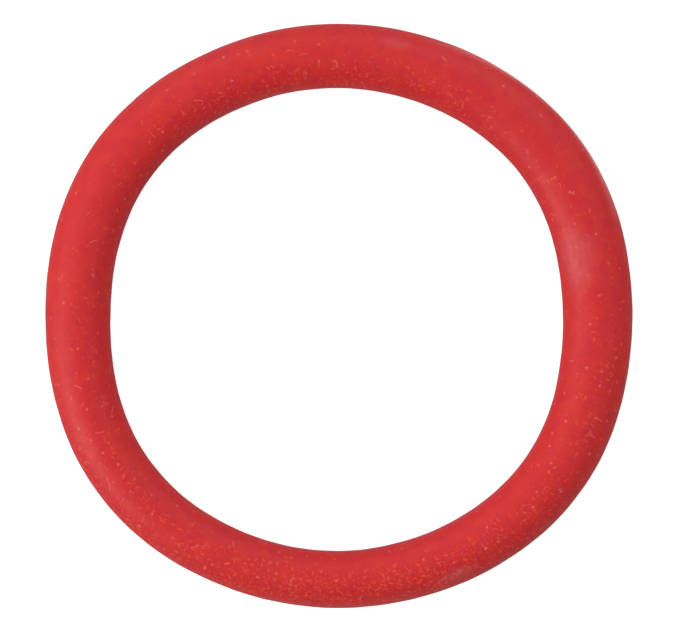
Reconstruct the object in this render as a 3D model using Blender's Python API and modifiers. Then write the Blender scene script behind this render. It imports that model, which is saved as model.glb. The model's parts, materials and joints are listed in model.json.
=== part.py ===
"""A throwing ring for lawn games: one solid ring of moulded red rubber.

Metres, +Z up. The ring lies flat, its axis along +Z, and the origin is on that
axis in the plane that the ring lies on.

The tube is round in section. A soft ring rests on a narrow strip that its own
weight presses flat, so the section is a polygon with one side level at the
bottom: that side is the strip.
"""

from math import cos, pi, radians, sin

import bpy

OUTSIDE_DIAMETER = 0.170
TUBE_DIAMETER = 0.0185

RING_STEPS = 96  # facets round the ring
TUBE_SIDES = 32  # sides of the section, a multiple of 4 so that one side is level

RUBBER_RED = (0.60, 0.033, 0.035, 1.0)
RUBBER_ROUGHNESS = 0.50
RUBBER_IOR = 1.52

MERGE_DISTANCE = 0.0001

TUBE_RADIUS = TUBE_DIAMETER / 2
CENTRELINE_RADIUS = OUTSIDE_DIAMETER / 2 - TUBE_RADIUS


def clear_scene():
    for obj in list(bpy.data.objects):
        bpy.data.objects.remove(obj, do_unlink=True)


def make_collection(name):
    collection = bpy.data.collections.new(name)
    bpy.context.scene.collection.children.link(collection)
    return collection


def make_rubber():
    """Dense vulcanised rubber, coloured through: satin where the mould was smooth."""
    material = bpy.data.materials.new("red_vulcanised_rubber")
    material.use_nodes = True
    shader = material.node_tree.nodes["Principled BSDF"]
    shader.inputs["Base Color"].default_value = RUBBER_RED
    shader.inputs["Metallic"].default_value = 0.0
    shader.inputs["Roughness"].default_value = RUBBER_ROUGHNESS
    shader.inputs["IOR"].default_value = RUBBER_IOR
    return material


def section_points():
    """Corners of the section, in the XZ plane, running down the outer side.

    The polygon's sides, not its corners, touch the tube's circle. So the lowest
    side lies level in Z = 0, and the outermost one stands at the outside radius.
    """
    side_angle = radians(360) / TUBE_SIDES
    corner_radius = TUBE_RADIUS / cos(side_angle / 2)
    points = []
    for number in range(TUBE_SIDES):
        angle = pi / 2 - (number + 0.5) * side_angle
        x = CENTRELINE_RADIUS + corner_radius * cos(angle)
        z = TUBE_RADIUS + corner_radius * sin(angle)
        points.append((x, 0.0, z))
    return points


def make_ring(collection, material):
    """The section turned once round the ring's axis."""
    points = section_points()
    edges = [(number, (number + 1) % len(points)) for number in range(len(points))]
    mesh = bpy.data.meshes.new("rubber_ring")
    mesh.from_pydata(points, edges, [])
    mesh.materials.append(material)

    ring = bpy.data.objects.new("rubber_ring", mesh)
    collection.objects.link(ring)
    turn = ring.modifiers.new("turn", "SCREW")
    turn.axis = "Z"
    turn.angle = radians(360)
    turn.steps = RING_STEPS
    turn.render_steps = RING_STEPS
    turn.use_merge_vertices = True
    turn.merge_threshold = MERGE_DISTANCE
    turn.use_smooth_shade = True
    return ring


clear_scene()
make_ring(make_collection("throwing_ring"), make_rubber())
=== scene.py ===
# %% [markdown]
# # A red rubber throwing ring
#
# The real object is one piece of dense red rubber: a ring, round in section, that
# is thrown and caught in one hand. It has no lettering, no valve and no seam that
# shows from above. So the whole lesson is about two things: the shape of a soft
# ring that is not quite round, and a rubber skin with everything that a plain red
# lacks, which is mottling, specks, short fibres, bloom and an uneven gloss. One
# patch of the bloom is partly a painted highlight.
#
# The imported model gives the frame. It is a plain, coarse ring that stays for
# collision, and one finer ring will stand for it.

# %% Load the frame
import json

import bpy
import numpy as np
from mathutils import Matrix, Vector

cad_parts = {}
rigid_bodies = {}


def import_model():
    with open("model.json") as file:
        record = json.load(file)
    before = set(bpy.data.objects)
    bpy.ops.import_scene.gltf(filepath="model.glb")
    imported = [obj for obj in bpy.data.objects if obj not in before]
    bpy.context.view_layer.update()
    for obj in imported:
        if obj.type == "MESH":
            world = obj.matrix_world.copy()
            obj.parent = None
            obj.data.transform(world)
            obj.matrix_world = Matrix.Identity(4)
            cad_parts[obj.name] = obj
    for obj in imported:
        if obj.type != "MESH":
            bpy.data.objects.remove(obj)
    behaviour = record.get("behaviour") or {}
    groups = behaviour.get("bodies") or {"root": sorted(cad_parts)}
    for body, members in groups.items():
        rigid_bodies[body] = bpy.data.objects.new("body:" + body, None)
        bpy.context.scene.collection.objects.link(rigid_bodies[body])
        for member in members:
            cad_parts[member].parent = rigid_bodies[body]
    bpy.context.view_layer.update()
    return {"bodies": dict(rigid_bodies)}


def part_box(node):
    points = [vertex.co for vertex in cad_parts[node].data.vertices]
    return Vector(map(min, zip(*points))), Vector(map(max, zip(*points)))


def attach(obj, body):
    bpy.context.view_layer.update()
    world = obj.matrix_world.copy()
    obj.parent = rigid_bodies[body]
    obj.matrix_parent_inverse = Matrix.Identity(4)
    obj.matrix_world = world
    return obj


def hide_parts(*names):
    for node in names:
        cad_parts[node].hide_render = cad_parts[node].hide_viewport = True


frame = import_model()
ring_low, ring_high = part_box("rubber_ring")

MM = 0.001
OUTSIDE_DIAMETER = ring_high[0] - ring_low[0]
TUBE_HEIGHT = ring_high[2] - ring_low[2]
TUBE_RADIUS = TUBE_HEIGHT / 2
print(f"ring {OUTSIDE_DIAMETER / MM:.1f} mm across, tube {TUBE_HEIGHT / MM:.1f} mm thick")

# %% [markdown]
# ## Camera
#
# The ring is seen from straight above, through a long lens, so that its hole and
# its outline show no slant. The ring fills most of the picture's width and lies a
# little left of the middle, so the camera stands a little right of the ring.

# %% Camera
LENS_MM = 200.0
SENSOR_MM = 36.0
RING_SHARE_OF_WIDTH = 0.8366
ASIDE = 0.0157  # the camera's steps to the right and down the picture, as shares of its width
DOWN = 0.0008

picture_width = OUTSIDE_DIAMETER / RING_SHARE_OF_WIDTH
camera_data = bpy.data.cameras.new("overhead")
camera_data.lens = LENS_MM
camera_data.sensor_width = SENSOR_MM
camera_data.clip_start = 0.01
camera_data.clip_end = 20.0
camera = bpy.data.objects.new("overhead", camera_data)
bpy.context.scene.collection.objects.link(camera)
camera_height = TUBE_RADIUS + picture_width * LENS_MM / SENSOR_MM
camera.location = (ASIDE * picture_width, -DOWN * picture_width, camera_height)
bpy.context.scene.camera = camera
print(f"camera {camera_height:.2f} m up, picture {picture_width / MM:.0f} mm wide")

# %% [markdown]
# ## Two helpers for materials
#
# Colours are written as they are read off a screen, in sRGB hex, and Blender
# mixes light in linear numbers, so one function turns one into the other. A
# second one adds a node, sets its inputs and joins it up, which keeps each
# material below as a list of steps that reads from top to bottom.

# %% Material helpers
def linear(hex_colour):
    """The sRGB colour "#rrggbb" as linear red, green, blue and an alpha of one.

    A channel c becomes c / 12.92 up to 0.04045, and ((c + 0.055) / 1.055) to the
    power 2.4 above it.
    """
    srgb = np.array([int(hex_colour[i : i + 2], 16) for i in (1, 3, 5)]) / 255
    rgb = np.where(srgb <= 0.04045, srgb / 12.92, ((srgb + 0.055) / 1.055) ** 2.4)
    return (*rgb.tolist(), 1.0)


def add(tree, kind, inputs=None, **settings):
    """Adds a node with its settings, values and links.

    An input goes by its name or number, and where two share a name, the one in use
    is meant. It takes a value, a socket, or a node, whose first output in use is read.
    """
    node = tree.nodes.new(kind)
    for name, value in settings.items():
        setattr(node, name, value)
    for name, value in (inputs or {}).items():
        by_name = [socket for socket in node.inputs if socket.enabled and socket.name == name]
        socket = by_name[0] if by_name else node.inputs[name]
        if isinstance(value, bpy.types.Node):
            value = next(output for output in value.outputs if output.enabled)
        if isinstance(value, bpy.types.NodeSocket):
            tree.links.new(value, socket)
        else:
            socket.default_value = value
    return node


def new_material(name):
    """An empty material and its node tree, with the output node in place."""
    material = bpy.data.materials.new(name)
    material.use_nodes = True
    material.node_tree.nodes.clear()
    return material, material.node_tree


print("a mid red is", [round(c, 3) for c in linear("#d03232")])

# %% [markdown]
# ## Stage and light
#
# The ring lies on a plain white table. A studio makes such a table shine by
# itself, with a lamp under white acrylic, so that it stays white and takes only
# the faintest shadow. Here the glow is added for the camera alone, because a
# table that bright would flood the ring's sides from below.
#
# The light is a pale room and six soft lamps. Four large ones stand low and high
# on the left and low at the back, where the ring's pale side is, and a fifth on
# the right fills the shade. A smaller one, low on the left, leaves a soft sheen
# along the tube. At the back right a strip of silver card lies close to the ring,
# and its reflection draws a thin pale rim.

# %% Floor
FLOOR_RADIUS = 3.0
FLOOR_ALBEDO = 0.45
FLOOR_GLOW = 0.85

white_acrylic, tree = new_material("white_acrylic_table")
seen_directly = add(tree, "ShaderNodeLightPath").outputs["Is Camera Ray"]
glow = add(tree, "ShaderNodeMath", {0: seen_directly, 1: FLOOR_GLOW}, operation="MULTIPLY")
shader = add(
    tree,
    "ShaderNodeBsdfPrincipled",
    {
        "Base Color": (FLOOR_ALBEDO, FLOOR_ALBEDO, FLOOR_ALBEDO, 1.0),
        "Roughness": 1.0,
        "Specular IOR Level": 0.0,
        "Emission Color": (1.0, 1.0, 1.0, 1.0),
        "Emission Strength": glow,
    },
)
add(tree, "ShaderNodeOutputMaterial", {"Surface": shader})

corners = np.array([(-1, -1, 0), (1, -1, 0), (1, 1, 0), (-1, 1, 0)]) * FLOOR_RADIUS
floor_mesh = bpy.data.meshes.new("floor")
floor_mesh.from_pydata(corners.tolist(), [], [(0, 1, 2, 3)])
floor_mesh.materials.append(white_acrylic)
floor = bpy.data.objects.new("floor", floor_mesh)
bpy.context.scene.collection.objects.link(floor)
print(f"table {2 * FLOOR_RADIUS:.0f} m across")

# %% Room light
ROOM_STRENGTH = 0.42
WHITE_TO_THE_EYE = 1.1  # beyond the table's edge the camera sees plain white

world = bpy.data.worlds.new("pale_room")
world.use_nodes = True
tree = world.node_tree
tree.nodes.clear()
seen_directly = add(tree, "ShaderNodeLightPath").outputs["Is Camera Ray"]
strength = add(
    tree,
    "ShaderNodeMapRange",
    {"Value": seen_directly, "To Min": ROOM_STRENGTH, "To Max": WHITE_TO_THE_EYE},
)
background = add(
    tree, "ShaderNodeBackground", {"Color": (1.0, 1.0, 1.0, 1.0), "Strength": strength}
)
add(tree, "ShaderNodeOutputWorld", {"Surface": background})
bpy.context.scene.world = world
bpy.context.scene.view_settings.view_transform = "Standard"
print("the room lights the ring at", ROOM_STRENGTH, "and is seen at", WHITE_TO_THE_EYE)


# %% Lamps
def soft_lamp(name, azimuth, elevation, distance, width, height, power):
    """An area lamp that faces the ring's middle from a compass direction, in degrees."""
    a, e = np.radians(azimuth), np.radians(elevation)
    towards = np.array([np.cos(e) * np.cos(a), np.cos(e) * np.sin(a), np.sin(e)])
    data = bpy.data.lights.new(name, "AREA")
    data.shape = "RECTANGLE"
    data.size = width
    data.size_y = height
    data.energy = power
    lamp = bpy.data.objects.new(name, data)
    bpy.context.scene.collection.objects.link(lamp)
    lamp.location = (towards * distance).tolist()
    lamp.rotation_euler = (np.pi / 2 - e, 0.0, a + np.pi / 2)
    lamp.visible_camera = False
    return lamp


LAMPS = (
    # name, azimuth, elevation, distance, width, height, power
    ("left_soft_lamp", 180.0, 22.0, 1.6, 1.2, 1.2, 3.6),
    ("high_left_soft_lamp", 190.0, 62.0, 1.6, 1.2, 1.2, 3.3),
    ("back_left_soft_lamp", 120.0, 25.0, 1.6, 1.2, 1.2, 5.3),
    ("back_right_soft_lamp", 60.0, 25.0, 1.6, 1.2, 1.2, 5.7),
    ("right_soft_lamp", 10.0, 58.0, 1.6, 1.2, 1.2, 3.2),
    ("small_left_lamp", 206.0, 27.0, 1.4, 0.5, 0.6, 6.2),
)
for lamp in LAMPS:
    soft_lamp(*lamp)

CARD_AZIMUTH = 45.0
CARD_ELEVATION = 1.0
CARD_DISTANCE = 0.091  # 6 mm outside the ring
CARD_LENGTH = 0.09
CARD_WIDTH = 0.006
CARD_POWER = 0.0032

silver_card = soft_lamp(
    "silver_card",
    CARD_AZIMUTH,
    CARD_ELEVATION,
    CARD_DISTANCE,
    CARD_LENGTH,
    CARD_WIDTH,
    CARD_POWER,
)
# It lies flat with its face up, and is there for its reflection alone.
silver_card.rotation_euler = (np.pi, 0.0, np.radians(CARD_AZIMUTH + 90.0))
silver_card.visible_diffuse = False
print(len(LAMPS), "soft lamps and a silver card")

# %% [markdown]
# ## The ring's shape
#
# A ring like this is pressed in a two-part mould and then lives in a box with
# others, so it relaxes out of round by about one part in a hundred. Four
# stretches of it are a little flatter and the tube is a little thicker on one
# side. One way is to bend a torus with modifiers, but then no one can say how
# far it was bent. So the surface is written down as a function of two angles:
# `turn` goes round the ring, and `around` goes round the tube, from the outer
# side over the top.
#
# The mould's two halves meet at half height. A thin raised line is left there
# after trimming, on the outer side and round the hole, and it is part of the
# shape, because it shows along the outline from the side.

# %% The out-of-round ring
FOUR_LOBES = 0.0102  # shares of the centreline's radius
SIX_LOBES = 0.0035
THICK_SIDE = 0.065  # shares of the tube's half width
THICK_SIDE_ANGLE = np.radians(58.0)
THICK_PAIR = 0.0515
CENTRE_SHIFT = (-0.38 * MM, -0.65 * MM)
MEAN_TUBE = TUBE_RADIUS
MEAN_CENTRELINE = 76.5 * MM  # from the axis to the tube's middle


def centreline_radius(turn):
    """Distance from the axis to the tube's middle: a circle less its 4 and 6 lobes."""
    lobes = FOUR_LOBES * np.cos(4 * turn) + SIX_LOBES * np.cos(6 * turn)
    return MEAN_CENTRELINE * (1 - lobes)


def half_width(turn):
    """Half the tube's width, thicker on one side and a little on two opposite ones."""
    one_side = THICK_SIDE * np.cos(turn - THICK_SIDE_ANGLE)
    both_sides = THICK_PAIR * np.cos(2 * turn)
    return MEAN_TUBE * (1 + one_side + both_sides)


checked = np.radians(np.arange(0, 360, 1.0))
print(f"centreline {centreline_radius(checked).min() / MM:.1f} to "
      f"{centreline_radius(checked).max() / MM:.1f} mm, tube "
      f"{2 * half_width(checked).min() / MM:.1f} to {2 * half_width(checked).max() / MM:.1f} mm")

# %% The ring's surface
TURN_STEPS = 720
AROUND_STEPS = 128
JOIN = np.radians(140.0)  # the grid starts and ends here, where the skin is cleanest
CROWDING = 0.68  # how far the steps crowd towards the parting line
PARTING_HEIGHT = 0.10 * MM
PARTING_HALF_WIDTH = 0.32 * MM
PRESSED_FLAT = 0.045 * MM  # how far the ring's own weight presses its underside
UNEVENNESS = 0.06 * MM


def slow_waves(turn, around):
    """The mean of three sine waves that cross the skin on different slants, -1 to 1.

    Each goes round the ring and round the tube a whole number of times, so it
    closes on itself.
    """
    return (
        np.sin(5 * turn + 2 * around)
        + np.sin(11 * turn - around + 1.3)
        + np.sin(17 * turn + 3 * around + 2.1)
    ) / 3


def parting_line(turn, around):
    """Height of the trimmed mould line: a narrow hump where the tube is widest.

    The hump is exp(-(d / w)^2) of the height d over or under the tube's middle,
    and trimming leaves it higher and lower along its way: 0.65 of the full height,
    give or take a wave of 0.2 and one of 0.15.
    """
    distance = MEAN_TUBE * np.abs(np.sin(around))
    trimmed = 0.65 + 0.2 * np.sin(23 * turn + 0.7) + 0.15 * np.sin(61 * turn)
    return PARTING_HEIGHT * trimmed * np.exp(-((distance / PARTING_HALF_WIDTH) ** 2))


def ring_surface(turn, around):
    """Points of the ring for two angles, as an array that ends in x, y, z.

    The section is an ellipse, as wide as the tube is there and everywhere as
    high. The mould line and the unevenness move it outwards, and the underside
    is cut off level where it is pressed flat.
    """
    lift = parting_line(turn, around) + UNEVENNESS * slow_waves(turn, around)
    out = centreline_radius(turn) + (half_width(turn) + lift) * np.cos(around)
    z = TUBE_RADIUS - PRESSED_FLAT + (TUBE_RADIUS + lift) * np.sin(around)
    x = CENTRE_SHIFT[0] + out * np.cos(turn)
    y = CENTRE_SHIFT[1] + out * np.sin(turn)
    return np.stack([x, y, np.maximum(z, 0.0)], axis=-1)


turn = JOIN + np.arange(TURN_STEPS) * 2 * np.pi / TURN_STEPS
even = (np.arange(AROUND_STEPS) + 0.5) * 2 * np.pi / AROUND_STEPS - np.pi / 2
around = even - CROWDING / 2 * np.sin(2 * even)
points = ring_surface(turn[:, None], around[None, :])
print(f"{points.shape[0]} x {points.shape[1]} points, lowest {points[..., 2].min() / MM:.2f} mm, "
      f"highest {points[..., 2].max() / MM:.2f} mm")


# %% Mesh
def closed_grid(name, points, along, across):
    """A mesh from a grid of points that closes on itself both ways.

    Each face joins four neighbours, counted round to the start again. Its corners
    also get a flat map in millimetres: arc length along the ring and round the
    tube, with nothing at the middle of the top, opposite the join.
    """
    rows, columns = points.shape[:2]
    i, j = np.meshgrid(np.arange(rows), np.arange(columns), indexing="ij")
    corner_i = np.stack([i, i + 1, i + 1, i], axis=-1).reshape(-1, 4)
    corner_j = np.stack([j, j, j + 1, j + 1], axis=-1).reshape(-1, 4)
    faces = (corner_i % rows) * columns + corner_j % columns
    mesh = bpy.data.meshes.new(name)
    mesh.from_pydata(points.reshape(-1, 3).tolist(), [], faces.tolist())
    flat = np.stack([along[corner_i], across[corner_j]], axis=-1)
    layer = mesh.uv_layers.new(name="skin_mm")
    layer.data.foreach_set("uv", flat.astype(np.float32).ravel())
    mesh.shade_smooth()
    return mesh


# Half the flat map's length. Its middle lies opposite the join.
HALF_LENGTH_MM = np.pi * MEAN_CENTRELINE / MM
along_mm = np.linspace(-HALF_LENGTH_MM, HALF_LENGTH_MM, TURN_STEPS + 1)
across_mm = (np.append(around, around[0] + 2 * np.pi) - np.pi / 2) * MEAN_TUBE / MM
ring_mesh = closed_grid("solid_rubber_ring", points, along_mm, across_mm)
ring = bpy.data.objects.new("solid_rubber_ring", ring_mesh)
bpy.context.scene.collection.objects.link(ring)
print(f"{len(ring_mesh.polygons)} faces, {2 * len(ring_mesh.polygons)} triangles")

# %% [markdown]
# ## The rubber
#
# Vulcanised natural rubber, coloured through with a red pigment and pressed in a
# steel mould. It is opaque and its red is deep. Its gloss is weak and so broad
# that a lamp shows as a pale, soft-edged band along the tube. A plain red shader
# gives that much, but looks like plastic. What makes it rubber is what is mixed
# into it and what clings to it:
#
# - the pigment is not quite evenly milled in, so the red drifts a little towards
#   orange and towards crimson;
# - orange flecks, dark specks and pale grains of filler lie in the skin;
# - lint clings to it: bent fibres, 1 to 3 mm long;
# - a pale bloom has come out in a few places and was wiped along the ring, and
#   where one patch lies under a lamp's highlight it is partly a painted highlight;
# - a film of fine dust lies over all of it, palest where it is seen edge on.
#
# Clouds of colour read their place in the ring, so they have no seam. Flecks and
# fibres lie flat in the skin, so they read the flat map in millimetres.

# %% Rubber: the milled red
RUBBER_IOR = 1.50
RUBBER_ROUGHNESS = 0.55
RUBBER_GLOSS = 0.48  # the dust takes it a little under the usual 0.5
CLOUD_MM = 5.0
BLOTCH_MM = 2.2
BLOTCH_SEED = 3.0

rubber, tree = new_material("red_vulcanised_rubber")
place = add(tree, "ShaderNodeTexCoord")
clouds = add(
    tree, "ShaderNodeTexNoise", {"Vector": place.outputs["Object"], "Scale": 1 / (CLOUD_MM * MM)}
)
towards_orange = add(
    tree,
    "ShaderNodeMapRange",
    {"Value": clouds, "From Min": 0.35, "From Max": 0.65},
    interpolation_type="SMOOTHSTEP",
)
red = add(
    tree,
    "ShaderNodeMix",
    {"Factor": towards_orange, "A": linear("#cf0c17"), "B": linear("#d31912")},
    data_type="RGBA",
)
blotches = add(
    tree,
    "ShaderNodeTexNoise",
    {"Vector": place.outputs["Object"], "W": BLOTCH_SEED, "Scale": 1 / (BLOTCH_MM * MM)},
    noise_dimensions="4D",
)
towards_crimson = add(
    tree,
    "ShaderNodeMapRange",
    {"Value": blotches, "From Min": 0.45, "From Max": 0.75},
    interpolation_type="SMOOTHSTEP",
)
red = add(
    tree,
    "ShaderNodeMix",
    {"Factor": towards_crimson, "A": red, "B": linear("#c90c22")},
    data_type="RGBA",
)
print("the red drifts over", CLOUD_MM, "mm, and its blotches are", BLOTCH_MM, "mm across")

# %% [markdown]
# Flecks and lint are not spread evenly. A ring that hangs on a hook turns one
# side of its skin to the room and catches lint there, and what comes off higher
# up settles lower down. It is also thickest at the ring's two ends, the stretch
# that hangs and the one that is caught. So one number, `dusty`, says how thick it
# lies. It comes from the way the skin faces and from its place, and slow noise
# clumps it.

# %% Rubber: where the lint lies
DUSTY_SIDE = (0.3, -0.95, 0.0)
SETTLING = 0.28  # how much being low down counts beside facing the room
NO_LINT = -0.45  # the sum of both where there is next to no lint
FULL_LINT = 0.4  # and where it lies full
LEAST_LINT = 0.04
CLUMP_MM = 14.0
CLUMP_SEED = 7.0
NOISE_RANGE = {"From Min": 0.3, "From Max": 0.7}  # where a noise's values mostly lie
CLUMPING = 0.4  # lint is this share thicker in a clump and thinner in a gap
LINT_BETWEEN = 0.3  # amount half way between the ring's two ends
LINT_AT_ENDS = 1.3
NEARNESS_POWER = 3.0  # how fast it thins out away from them

facing_room = add(
    tree,
    "ShaderNodeVectorMath",
    {0: place.outputs["Normal"], 1: DUSTY_SIDE},
    operation="DOT_PRODUCT",
).outputs["Value"]
along_y = add(tree, "ShaderNodeSeparateXYZ", {0: place.outputs["Object"]}).outputs["Y"]
up = add(tree, "ShaderNodeMath", {0: along_y, 1: 1 / MEAN_CENTRELINE}, operation="MULTIPLY")
catching = add(
    tree, "ShaderNodeMath", {0: up, 1: -SETTLING, 2: facing_room}, operation="MULTIPLY_ADD"
)
dusty = add(
    tree,
    "ShaderNodeMapRange",
    {"Value": catching, "From Min": NO_LINT, "From Max": FULL_LINT, "To Min": LEAST_LINT},
    interpolation_type="SMOOTHSTEP",
)
clumps = add(
    tree,
    "ShaderNodeTexNoise",
    {"Vector": place.outputs["Object"], "W": CLUMP_SEED, "Scale": 1 / (CLUMP_MM * MM)},
    noise_dimensions="4D",
)
uneven = add(
    tree,
    "ShaderNodeMapRange",
    {"Value": clumps, **NOISE_RANGE, "To Min": 1 - CLUMPING, "To Max": 1 + CLUMPING},
)
from_half_way = add(tree, "ShaderNodeMath", {0: up}, operation="ABSOLUTE")
nearness = add(tree, "ShaderNodeMath", {0: from_half_way, 1: NEARNESS_POWER}, operation="POWER")
at_the_ends = add(
    tree,
    "ShaderNodeMapRange",
    {"Value": nearness, "To Min": LINT_BETWEEN, "To Max": LINT_AT_ENDS},
)
for factor in (uneven, at_the_ends):
    dusty = add(tree, "ShaderNodeMath", {0: dusty, 1: factor}, operation="MULTIPLY")
print("lint lies in clumps of", CLUMP_MM, "mm, thickest at the ends of the ring")

# %% [markdown]
# One pattern makes them all. The flat skin is split into irregular cells, and a
# share of the cells hold one stroke each: a line with round ends, turned and bent
# its own way. A stroke as long as it is wide is a grain, and a long thin one is a
# fibre. Each cell's own three random numbers say whether it has a stroke, which
# way that lies, and how bent and how strong it is. A stroke too near the join of
# the flat map would be cut in two, so there is none.

# %% Rubber: the wavy skin
WAVE_MM = 1.1
WAVE_HEIGHT_MM = 0.16  # enough that no stroke is quite straight and no grain quite round

skin = add(tree, "ShaderNodeUVMap", uv_map="skin_mm")
waves = add(tree, "ShaderNodeTexNoise", {"Vector": skin, "Scale": 1 / WAVE_MM, "Detail": 1.0})
wavy_skin = add(
    tree,
    "ShaderNodeVectorMath",
    {0: waves.outputs["Color"], 1: (WAVE_HEIGHT_MM, WAVE_HEIGHT_MM, 0.0), 2: skin},
    operation="MULTIPLY_ADD",
)
print("the skin's map wanders by", WAVE_HEIGHT_MM, "mm in waves of", WAVE_MM, "mm")


# %% Rubber: one stroke to a cell
BOW = 0.20  # how far a stroke's ends bend aside, at most, as a share of its half length
WEAKEST = 0.5  # cover of the faintest stroke


def strokes(cell_mm, half_length_mm, half_width_mm, share, spread, seed):
    """How fully strokes cover each place, from 0 to 1.

    With x along a stroke and y beside it, a place's distance from the stroke is the
    length of (|x| less half the stroke, but not under 0; y less the bend times x
    squared). Cover falls smoothly from the middle line to half the width away.
    """
    moved = add(
        tree, "ShaderNodeVectorMath", {0: wavy_skin, 1: (seed, 2 * seed, 0.0)}, operation="ADD"
    )
    cell = add(
        tree,
        "ShaderNodeTexVoronoi",
        {"Vector": moved, "Scale": 1 / cell_mm},
        voronoi_dimensions="2D",
    )
    chance = add(tree, "ShaderNodeSeparateColor", {"Color": cell.outputs["Color"]}).outputs
    away = add(
        tree,
        "ShaderNodeVectorMath",
        {0: moved, 1: cell.outputs["Position"]},
        operation="SUBTRACT",
    )
    angle = add(tree, "ShaderNodeMath", {0: chance[1], 1: 2 * np.pi}, operation="MULTIPLY")
    turned = add(
        tree, "ShaderNodeVectorRotate", {"Vector": away, "Angle": angle}, rotation_type="Z_AXIS"
    )
    x, y, _ = add(tree, "ShaderNodeSeparateXYZ", {0: turned}).outputs
    x_squared = add(tree, "ShaderNodeMath", {0: x, 1: x}, operation="MULTIPLY")
    bend = add(
        tree,
        "ShaderNodeMapRange",
        {"Value": chance[2], "To Min": -BOW / half_length_mm, "To Max": BOW / half_length_mm},
    )
    bow = add(tree, "ShaderNodeMath", {0: bend, 1: x_squared}, operation="MULTIPLY")
    beside = add(tree, "ShaderNodeMath", {0: y, 1: bow}, operation="SUBTRACT")
    from_middle = add(tree, "ShaderNodeMath", {0: x}, operation="ABSOLUTE")
    past_end = add(
        tree, "ShaderNodeMath", {0: from_middle, 1: half_length_mm}, operation="SUBTRACT"
    )
    past_end = add(tree, "ShaderNodeMath", {0: past_end, 1: 0.0}, operation="MAXIMUM")
    reach = add(tree, "ShaderNodeCombineXYZ", {0: past_end, 1: beside})
    distance = add(tree, "ShaderNodeVectorMath", {0: reach}, operation="LENGTH").outputs["Value"]
    cover = add(
        tree,
        "ShaderNodeMapRange",
        {"Value": distance, "From Min": half_width_mm, "From Max": 0.0},
        interpolation_type="SMOOTHSTEP",
    )
    strength = add(tree, "ShaderNodeMapRange", {"Value": chance[2], "To Min": WEAKEST})
    cover = add(tree, "ShaderNodeMath", {0: cover, 1: strength}, operation="MULTIPLY")
    likely = add(tree, "ShaderNodeMath", {0: spread, 1: share}, operation="MULTIPLY")
    there = add(tree, "ShaderNodeMath", {0: chance[0], 1: likely}, operation="LESS_THAN")
    cover = add(tree, "ShaderNodeMath", {0: cover, 1: there}, operation="MULTIPLY")
    centre = add(tree, "ShaderNodeVectorMath", {0: skin, 1: away}, operation="SUBTRACT")
    centre_along = add(tree, "ShaderNodeSeparateXYZ", {0: centre}).outputs["X"]
    from_zero = add(tree, "ShaderNodeMath", {0: centre_along}, operation="ABSOLUTE")
    room = HALF_LENGTH_MM - cell_mm - WAVE_HEIGHT_MM
    clear = add(tree, "ShaderNodeMath", {0: from_zero, 1: room}, operation="LESS_THAN")
    return add(tree, "ShaderNodeMath", {0: cover, 1: clear}, operation="MULTIPLY")


# %% Rubber: flecks, grains and lint
SEED_STEP = 17.0  # moves each layer's cells, so that no two layers share them
# Each row: what it is, cell, half length and half width in mm, share of cells,
# where it lies (1 for everywhere alike), colour, and how much of that shows.
LAYERS = (
    ("orange flecks", 2.2, 0.34, 0.42, 0.50, dusty, "#fa5a16", 0.56),
    ("dark specks", 2.2, 0.25, 0.46, 0.40, dusty, "#980a1c", 0.34),
    ("fine orange grains", 1.25, 0.12, 0.34, 0.50, dusty, "#f45424", 0.34),
    ("pale grains", 4.4, 0.05, 0.60, 0.24, 1.0, "#f2908e", 0.42),
    ("fuzz", 1.5, 0.34, 0.26, 0.45, dusty, "#f66048", 0.32),
    ("short fibres", 2.4, 0.62, 0.28, 0.34, dusty, "#f87462", 0.32),
    ("long fibres", 4.8, 1.20, 0.26, 0.22, dusty, "#f8948c", 0.32),
)
colour = red
raised = 0.0
for number, layer in enumerate(LAYERS):
    what, cell, half_length, half_width, share, spread, tint, amount = layer
    seed = SEED_STEP * (number + 1)
    cover = strokes(cell, half_length, half_width, share, spread, seed)
    shown = add(tree, "ShaderNodeMath", {0: cover, 1: amount}, operation="MULTIPLY")
    colour = add(
        tree, "ShaderNodeMix", {"Factor": shown, "A": colour, "B": linear(tint)}, data_type="RGBA"
    )
    raised = add(tree, "ShaderNodeMath", {0: raised, 1: cover}, operation="ADD")
    length = 2 * (half_length + half_width)
    print(f"{what}: {length:.1f} mm long, in {share:.0%} of {cell} mm cells")

# %% [markdown]
# Bloom is wax that has come to the surface and dulled it. It was wiped along the
# ring, so each patch is an oval in the flat map that fades to nothing at its edge
# and is broken by long streaks. The first patch, on the inner side at the right,
# lies where the small left lamp's highlight falls. There its pale colour is partly
# a painted highlight, which makes that highlight brighter and wider.

# %% Rubber: bloom
# A pale pink grey: bloom, and in the first patch also a painted highlight.
BLOOM_AND_HIGHLIGHT_COLOUR = "#d4bcc4"
STREAKS_PER_MM = (0.22, 0.7, 1.0)  # streaks are three times as long as they are wide
FULL_STREAK = 0.6  # the noise at which a streak is at its palest
PATCH_HEART = 0.2  # how far out, of a patch's half size, the fading starts
MIDDLE_OF_MAP = np.degrees(JOIN) + 180.0
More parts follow.
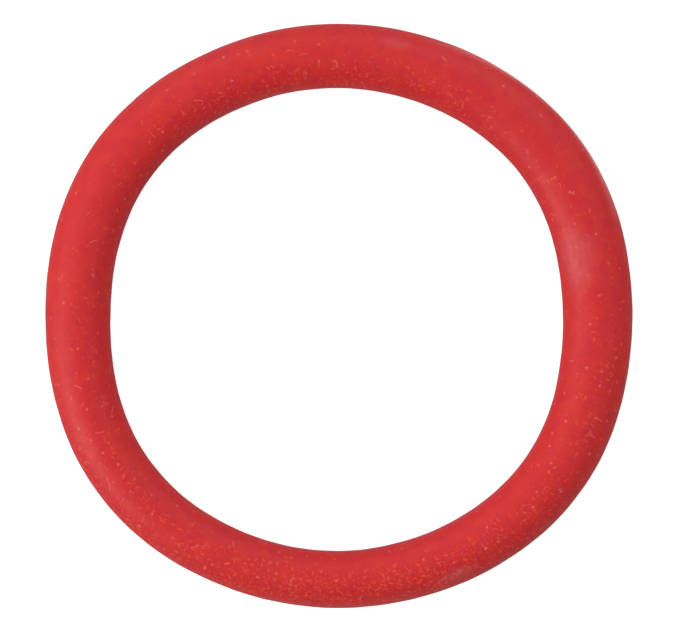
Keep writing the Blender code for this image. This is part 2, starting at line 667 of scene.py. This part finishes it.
# Each row: how far round the ring and round the tube, in degrees, half length
# and half width in mm, and how pale.
BLOOM_AND_HIGHLIGHT_PATCHES = (
    # Partly a painted highlight: this patch lies under the small left lamp's highlight, inside
    # the ring on the right.
    (14.0, 122.0, 14.0, 8.0, 0.09),
    (78.0, 57.0, 6.0, 3.0, 0.05),
    (295.0, 50.0, 8.0, 4.0, 0.07),
)
drawn_out = add(tree, "ShaderNodeMapping", {"Vector": wavy_skin, "Scale": STREAKS_PER_MM})
streaks = add(tree, "ShaderNodeTexNoise", {"Vector": drawn_out, "Scale": 1.0})
streaks = add(tree, "ShaderNodeMapRange", {"Value": streaks, "From Max": FULL_STREAK})
for turn_there, around_there, half_length, half_width, pale in BLOOM_AND_HIGHLIGHT_PATCHES:
    from_middle = (turn_there - MIDDLE_OF_MAP + 180.0) % 360.0 - 180.0
    along = np.radians(from_middle) * MEAN_CENTRELINE / MM
    across = np.radians(around_there - 90.0) * MEAN_TUBE / MM
    from_patch = add(
        tree,
        "ShaderNodeMapping",
        {
            "Vector": skin,
            "Location": (-along / half_length, -across / half_width, 0.0),
            "Scale": (1 / half_length, 1 / half_width, 1.0),
        },
    )
    distance = add(tree, "ShaderNodeVectorMath", {0: from_patch}, operation="LENGTH")
    cover = add(
        tree,
        "ShaderNodeMapRange",
        {
            "Value": distance.outputs["Value"],
            "From Min": 1.0,
            "From Max": PATCH_HEART,
            "To Max": pale,
        },
        interpolation_type="SMOOTHSTEP",
    )
    shown = add(tree, "ShaderNodeMath", {0: cover, 1: streaks}, operation="MULTIPLY")
    colour = add(
        tree,
        "ShaderNodeMix",
        {"Factor": shown, "A": colour, "B": linear(BLOOM_AND_HIGHLIGHT_COLOUR)},
        data_type="RGBA",
    )
print(len(BLOOM_AND_HIGHLIGHT_PATCHES), "patches of bloom")

# %% Rubber: relief, gloss and finish
MOULD_GRAIN_MM = 0.45
MOULD_GRAIN_DEPTH = 0.015 * MM
LINT_HEIGHT = 0.012 * MM
ROUGHNESS_DRIFT = 0.04  # blotches are this much duller or glossier
DUST_SHEEN = 0.055
DUST_SHEEN_ROUGHNESS = 0.5

mould_grain = add(
    tree,
    "ShaderNodeTexNoise",
    {"Vector": place.outputs["Object"], "Scale": 1 / (MOULD_GRAIN_MM * MM)},
)
raised = add(
    tree, "ShaderNodeMath", {0: raised, 1: LINT_HEIGHT / MOULD_GRAIN_DEPTH}, operation="MULTIPLY"
)
relief = add(tree, "ShaderNodeMath", {0: raised, 1: mould_grain}, operation="ADD")
normal = add(tree, "ShaderNodeBump", {"Height": relief, "Distance": MOULD_GRAIN_DEPTH})
roughness = add(
    tree,
    "ShaderNodeMapRange",
    {
        "Value": blotches,
        **NOISE_RANGE,
        "To Min": RUBBER_ROUGHNESS - ROUGHNESS_DRIFT,
        "To Max": RUBBER_ROUGHNESS + ROUGHNESS_DRIFT,
    },
)
shader = add(
    tree,
    "ShaderNodeBsdfPrincipled",
    {
        "Base Color": colour,
        "Roughness": roughness,
        "IOR": RUBBER_IOR,
        "Specular IOR Level": RUBBER_GLOSS,
        "Sheen Weight": DUST_SHEEN,
        "Sheen Roughness": DUST_SHEEN_ROUGHNESS,
        "Normal": normal,
    },
)
add(tree, "ShaderNodeOutputMaterial", {"Surface": shader})
ring_mesh.materials.append(rubber)
print(len(tree.nodes), "nodes in", rubber.name)

# %% [markdown]
# ## Hand over
#
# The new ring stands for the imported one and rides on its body.

# %% Join to the frame
body = next(iter(frame["bodies"]))
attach(ring, body)
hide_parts("rubber_ring")
print(ring.name, "rides on", body)
